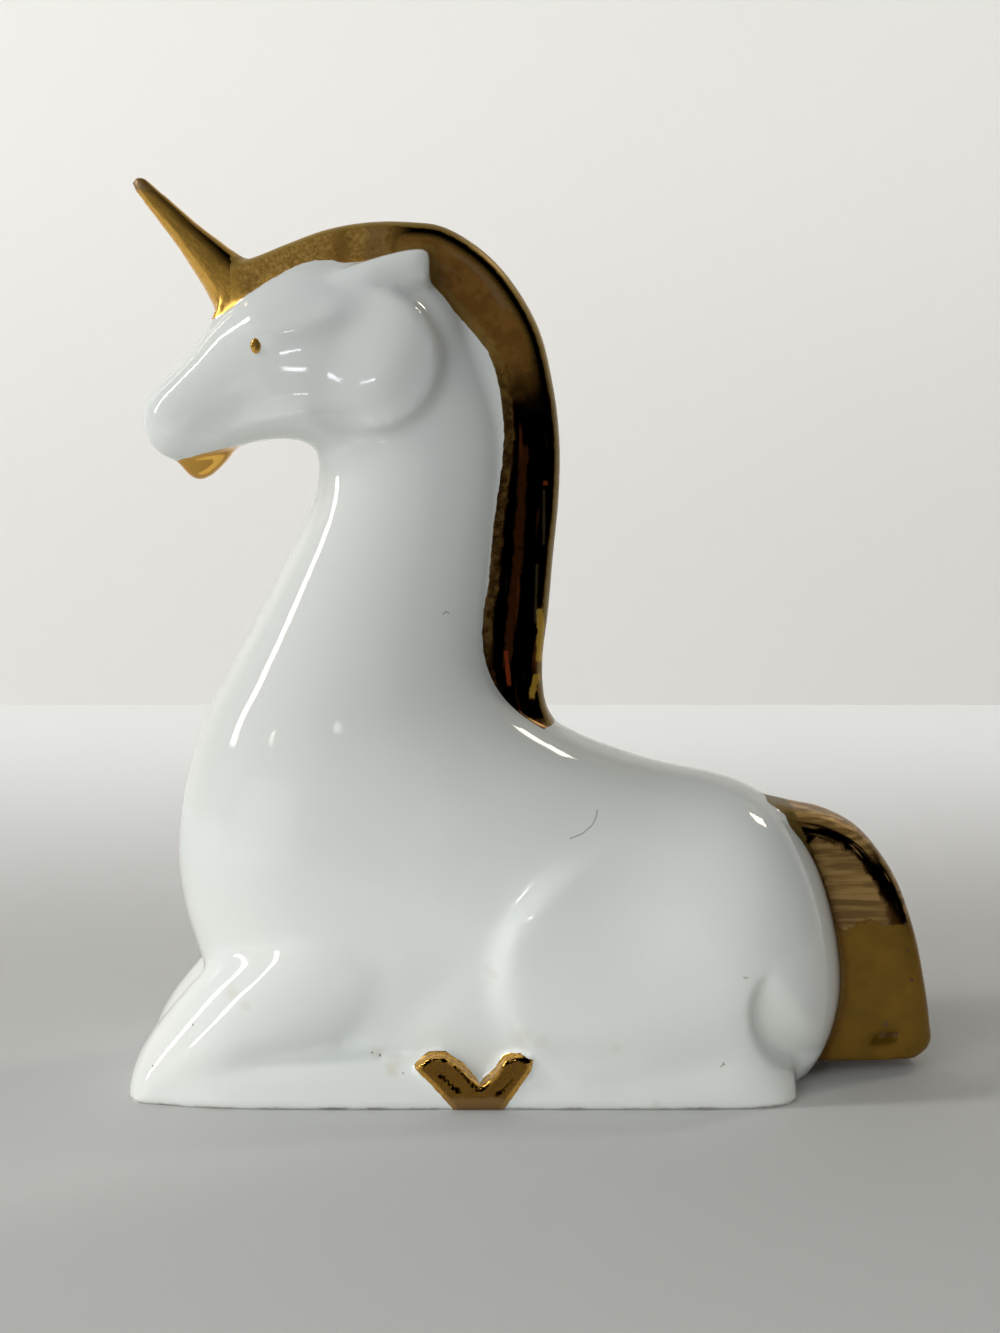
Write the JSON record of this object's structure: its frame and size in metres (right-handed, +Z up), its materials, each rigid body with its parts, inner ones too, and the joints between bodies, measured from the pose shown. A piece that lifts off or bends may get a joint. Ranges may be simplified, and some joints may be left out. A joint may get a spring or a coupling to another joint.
{
  "type": "unicorn figurine",
  "caption": "Reclining porcelain unicorn figurine, glazed white, with gilded horn, mane, tail, beard and hooves, resting on the flat underside of its folded legs.",
  "frame": {"origin": "middle of the box on the table face", "axes": "-X towards the muzzle, +X towards the tail, +Z up; the figure is the same on both sides of Y = 0"},
  "size_m": [0.1364, 0.0496, 0.1504],
  "materials": {
    "glazed_porcelain": "gloss"
  },
  "bodies": {
    "root": {"unicorn": "glazed_porcelain"}
  },
  "joints": []
}
